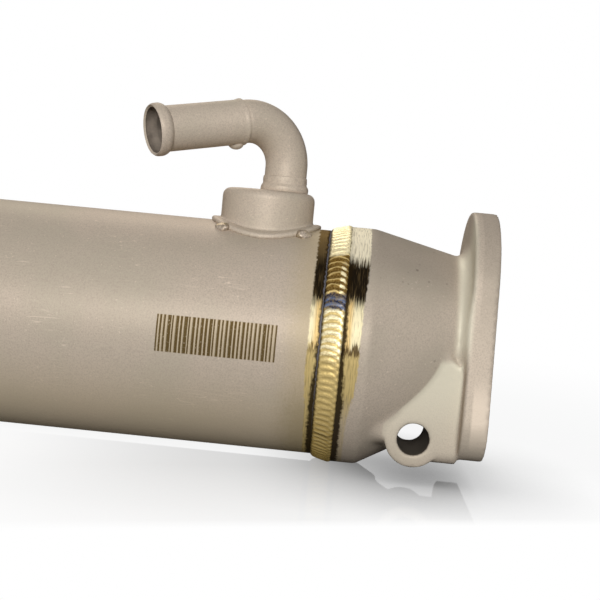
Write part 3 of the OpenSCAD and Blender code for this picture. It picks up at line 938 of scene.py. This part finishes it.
class COOLER_OT_pipes(bpy.types.Operator):
    """Bend the two coolant pipes and roll their hose beads"""

    bl_idname = "cooler.pipes"
    bl_label = "Coolant pipes"

    def execute(self, context):
        pipe = context.scene.cooler_pipe
        foot = Vector((POD_X + pipe.offset, 0, POD_TOP))
        level = Vector((-math.cos(pipe.turn), -math.sin(pipe.turn), 0))
        side = Vector((0, 0, 1)).cross(level)
        hub = foot + pipe.bend_r * level + Vector((0, 0, pipe.leg))
        droop = pipe.bend - math.pi / 2
        along = level * math.cos(droop) - Vector((0, 0, math.sin(droop)))
        deselect()
        bpy.ops.mesh.primitive_circle_add(
            vertices=72, radius=pipe.radius, location=foot - Vector((0, 0, pipe.dip)))
        tube = active()
        settle(tube)
        edit(tube)
        for rise in (pipe.dip, pipe.leg):
            bpy.ops.mesh.extrude_region_move(TRANSFORM_OT_translate={"value": (0, 0, rise)})
        bpy.ops.mesh.spin(steps=56, angle=-pipe.bend, center=hub, axis=side)
        under = Matrix.Rotation(pipe.bend, 3, side) @ -level
        start = hub + pipe.bend_r * under
        self.roll_nipple(pipe, start, along)
        bpy.ops.mesh.select_all(action="SELECT")
        bpy.ops.mesh.remove_doubles(threshold=1e-7)
        bpy.ops.mesh.normals_make_consistent(inside=False)
        leave_edit()
        tube.name = "front_pipe_tube"
        twin = mirrored(tube, "rear_pipe_tube")
        depth = pipe.nipple - NUB_SINK
        for piece, end in ((tube, "front"), (twin, "rear")):
            # The inner wall gets the bore colour, which is painted shade
            wear(piece, finish_named("sheet"), finish_named("inside"))
            modify(piece, "SOLIDIFY", thickness=pipe.wall, offset=-1.0, use_even_offset=True,
                   material_offset=1)
            nub = self.nub(pipe, start + along * (pipe.stop_at + pipe.nub_w / 2) - under * depth)
            if piece is twin:
                nub = self.nub_mirrored(nub)
            joined([piece, nub], end + "_pipe_tube")
            alone(piece)
            bpy.ops.object.shade_smooth_by_angle(angle=math.radians(40))
            hand_over(piece, end + "_coolant_pipe")
        return {"FINISHED"}

    def roll_nipple(self, pipe, start, along):
        """Extrudes the nipple ring by ring: stop ring, hose seat and a bead that stays wide to the end."""
        low = pipe.radius - pipe.groove
        rings = [(pipe.stop_at - 3 * pipe.groove, pipe.radius), (pipe.stop_at - pipe.groove, low),
                 (pipe.stop_at, low)]
        for i in range(7):
            turn = math.pi / 2 * i / 6
            rings.append((pipe.stop_at + pipe.stop_w / 2 * i / 6, pipe.nipple + pipe.stop * math.cos(turn)))
        bead_at = pipe.length - pipe.bead_w / 2
        rings.append((bead_at - pipe.bead_w / 2, pipe.nipple))
        for i in range(1, 17):
            t = -1 + 2 * i / 16
            lip = 1 - t * t if t < 0 else 1 - 0.5 * t ** 4
            rings.append((bead_at + t * pipe.bead_w / 2, pipe.nipple + pipe.bead * lip))
        before, size = 0.0, pipe.radius
        for place, radius in rings:
            bpy.ops.mesh.extrude_region_move(TRANSFORM_OT_translate={"value": along * (place - before)})
            bpy.ops.transform.resize(value=(radius / size,) * 3, center_override=start + along * place)
            before, size = place, radius

    def nub(self, pipe, place):
        deselect()
        bpy.ops.mesh.primitive_uv_sphere_add(
            segments=32, ring_count=18, radius=pipe.nub_w / 2, location=place)
        ball = active()
        ball.scale = (1.0, 0.8, 0.75)
        settle(ball)
        wear(ball, finish_named("sheet"))
        return ball

    def nub_mirrored(self, nub):
        twin = mirrored(nub, "nub")
        bpy.data.objects.remove(nub)
        return twin


class COOLER_OT_brazes(bpy.types.Operator):
    """Lay the braze around each coolant pipe's foot"""

    bl_idname = "cooler.brazes"
    bl_label = "Pipe brazes"

    def execute(self, context):
        pipe = context.scene.cooler_pipe
        inner = pipe.radius - 0.3 * MM
        profile = [
            (-0.5, inner), (-0.5, pipe.radius + 1.2 * MM), (1.3, pipe.radius + 1.4 * MM),
            (2.6, pipe.radius + 1.2 * MM), (3.4, pipe.radius + 0.4 * MM), (4.0, pipe.radius + 0.5 * MM),
            (6.6, pipe.radius + 0.45 * MM), (6.9, pipe.radius + 0.1 * MM), (7.0, inner), (-0.5, inner),
        ]
        foot = Vector((POD_X + pipe.offset, 0, POD_TOP))
        deselect()
        bpy.ops.mesh.primitive_circle_add(
            vertices=96, radius=inner, location=foot + Vector((0, 0, profile[0][0] * MM)))
        ring = active()
        settle(ring)
        edit(ring)
        before, size = profile[0]
        for height, radius in profile[1:]:
            rise = (height - before) * MM
            bpy.ops.mesh.extrude_region_move(TRANSFORM_OT_translate={"value": (0, 0, rise)})
            bpy.ops.transform.resize(value=(radius / size, radius / size, 1), center_override=foot)
            before, size = height, radius
        bpy.ops.mesh.select_all(action="SELECT")
        bpy.ops.mesh.remove_doubles(threshold=1e-6)
        bpy.ops.mesh.normals_make_consistent(inside=False)
        leave_edit()
        ring.name = "front_braze_ring"
        modify(ring, "SUBSURF", levels=2, render_levels=2)
        roughen(ring, "braze_unevenness", 3.2 * MM, 0.35 * MM)
        shade_smooth(ring)
        wear(ring, finish_named("sheet"))
        hand_over_pair(ring, "front_pipe_braze", "rear_braze_ring", "rear_pipe_braze")
        return {"FINISHED"}


class COOLER_OT_plain_nodes(bpy.types.Operator):
    """Finish the shell and the core inside"""

    bl_idname = "cooler.plain_nodes"
    bl_label = "Shell and core"

    def execute(self, context):
        for name, node in frame["nodes"].items():
            if name == "shell":
                wear(node, finish_named("shell"))
            elif name.startswith(("gas_tube", "baffle")) or name.endswith("tube_sheet"):
                wear(node, finish_named("core"))
        return {"FINISHED"}


class COOLER_OT_stage(bpy.types.Operator):
    """Set the camera, lamps, backdrop and floor"""

    bl_idname = "cooler.stage"
    bl_label = "Stage"

    def execute(self, context):
        stage = context.scene.cooler_stage
        context.scene.view_settings.view_transform = "Standard"
        self.camera(context, stage)
        self.lamp("key_lamp", *KEY_LAMP, stage.key)
        self.lamp("rim_lamp", *RIM_LAMP, stage.rim)
        self.backdrop(context, stage)
        self.floor(stage)
        return {"FINISHED"}

    def camera(self, context, stage):
        bpy.ops.object.camera_add()
        camera = active()
        right = CAMERA_RIGHT.normalized()
        back = right.cross(CAMERA_UP).normalized()
        up = back.cross(right)
        turn = Matrix((right, up, back)).transposed()
        camera.matrix_world = Matrix.Translation(stage.eye) @ turn.to_4x4()
        camera.data.lens = stage.lens
        camera.data.sensor_width = 36
        camera.data.clip_start = 0.01
        context.scene.camera = camera

    def lamp(self, name, place, aim, size, power):
        bpy.ops.object.light_add(type="AREA", location=place)
        lamp = active()
        lamp.name = name
        lamp.rotation_euler = (Vector(aim) - Vector(place)).to_track_quat("-Z", "Y").to_euler()
        lamp.data.shape = "RECTANGLE"
        lamp.data.size, lamp.data.size_y = size
        lamp.data.energy = power

    def backdrop(self, context, stage):
        world = bpy.data.worlds.new("white_room")
        context.scene.world = world
        world.use_nodes = True
        room = NodeTree(world.node_tree)
        light = room.tree.nodes["Background"]
        room.put(light.inputs["Color"], (1, 1, 1))
        room.put(light.inputs["Strength"], stage.ambient)
        white = room.add("ShaderNodeBackground", Color=(1, 1, 1), Strength=1.0)
        shown = room.mixed(room.seen(), light.outputs[0], white.outputs[0])
        room.put(room.tree.nodes["World Output"].inputs["Surface"], shown)

    def toward_front(self, sheet, start, end):
        """Goes from 0 to 1 across the floor in front of the cooler, along a slanted line."""
        return sheet.fade(sheet.against("DOT_PRODUCT", FRONT_SLANT), start, end, "LINEAR")

    def underneath(self, sheet):
        """1 on the open floor, less in the contact shadow under the hot end."""
        near = sheet.add("ShaderNodeAmbientOcclusion", Distance=0.06)
        closed = sheet.minus(1.0, near.outputs["AO"])
        return sheet.minus(1.0, sheet.times(closed, sheet.fade(sheet.x, -0.11, -0.02)))

    def polish(self, sheet):
        """1 where the floor mirrors the cooler, 0 in front of the shell's far half."""
        return sheet.math("MAXIMUM", sheet.fade(sheet.x, -0.23, -0.09), sheet.fade(sheet.y, 0.0, 0.05))

    def far_off(self, sheet):
        """0 on the floor near the cooler, 1 where the floor melts into the backdrop."""
        apart = sheet.fade(sheet.against("DISTANCE", FLOOR_MIDDLE), 0.3, 0.75)
        return sheet.math("MAXIMUM", apart, self.toward_front(sheet, 0.080, 0.090))

    def floor(self, stage):
        deselect()
        bpy.ops.mesh.primitive_plane_add(size=12, location=(0, 0, FLOOR_Z))
        floor = active()
        floor.name = "floor"
        settle(floor)
        sheet = NodeSheet("white_floor", 0.0, 0.6)
        sheet.colour(stage.floor)
        lit = sheet.add("ShaderNodeAddShader")
        sheet.put(lit.inputs[0], sheet.shader.outputs[0])
        glow = sheet.times(sheet.seen(), self.underneath(sheet))
        sheet.put(lit.inputs[1], sheet.emission(FLOOR_GLOW, glow))
        sheen = sheet.add("ShaderNodeBsdfGlossy", Roughness=0.04)
        waning = sheet.times(self.toward_front(sheet, -0.01, 0.085), GLOSS_FRONT - GLOSS_NEAR)
        camera_ray = sheet.add("ShaderNodeLightPath").outputs["Is Camera Ray"]
        gloss = sheet.times(self.polish(sheet), camera_ray, sheet.plus(waning, GLOSS_NEAR))
        near = sheet.mixed(gloss, lit.outputs[0], sheen.outputs[0])
        far = sheet.emission((1, 1, 1), sheet.seen())
        shown = sheet.mixed(self.far_off(sheet), near, far)
        sheet.put(sheet.tree.nodes["Material Output"].inputs["Surface"], shown)
        wear(floor, sheet.material)


class COOLER_PT_sidebar(bpy.types.Panel):
    """Lists the steps and the values of the cooler's looks"""

    bl_idname = "COOLER_PT_sidebar"
    bl_label = "Gas cooler"
    bl_space_type = "VIEW_3D"
    bl_region_type = "UI"
    bl_category = "Cooler"

    def draw(self, context):
        for step in STEPS:
            self.layout.operator(step.bl_idname)
        for name, group in GROUPS.items():
            box = self.layout.box()
            values = getattr(context.scene, name)
            for key in group.__annotations__:
                box.prop(values, key)


GROUPS = {
    "cooler_finish": CoolerFinish,
    "cooler_weld": CoolerWeld,
    "cooler_pipe": CoolerPipe,
    "cooler_stage": CoolerStage,
}
STEPS = (
    COOLER_OT_castings, COOLER_OT_ring_welds, COOLER_OT_pods, COOLER_OT_tacks, COOLER_OT_pipes,
    COOLER_OT_brazes, COOLER_OT_plain_nodes, COOLER_OT_stage,
)


def register():
    for group in GROUPS.values():
        bpy.utils.register_class(group)
    for name, group in GROUPS.items():
        setattr(bpy.types.Scene, name, PointerProperty(type=group))
    for step in STEPS:
        bpy.utils.register_class(step)
    bpy.utils.register_class(COOLER_PT_sidebar)


def unregister():
    bpy.utils.unregister_class(COOLER_PT_sidebar)
    for step in reversed(STEPS):
        bpy.utils.unregister_class(step)
    for name in GROUPS:
        delattr(bpy.types.Scene, name)
    for group in reversed(GROUPS.values()):
        bpy.utils.unregister_class(group)


def main():
    register()
    bpy.ops.cooler.castings()
    bpy.ops.cooler.ring_welds()
    bpy.ops.cooler.pods()
    bpy.ops.cooler.tacks()
    bpy.ops.cooler.pipes()
    bpy.ops.cooler.brazes()
    bpy.ops.cooler.plain_nodes()
    bpy.ops.cooler.stage()


if __name__ == "__main__":
    main()
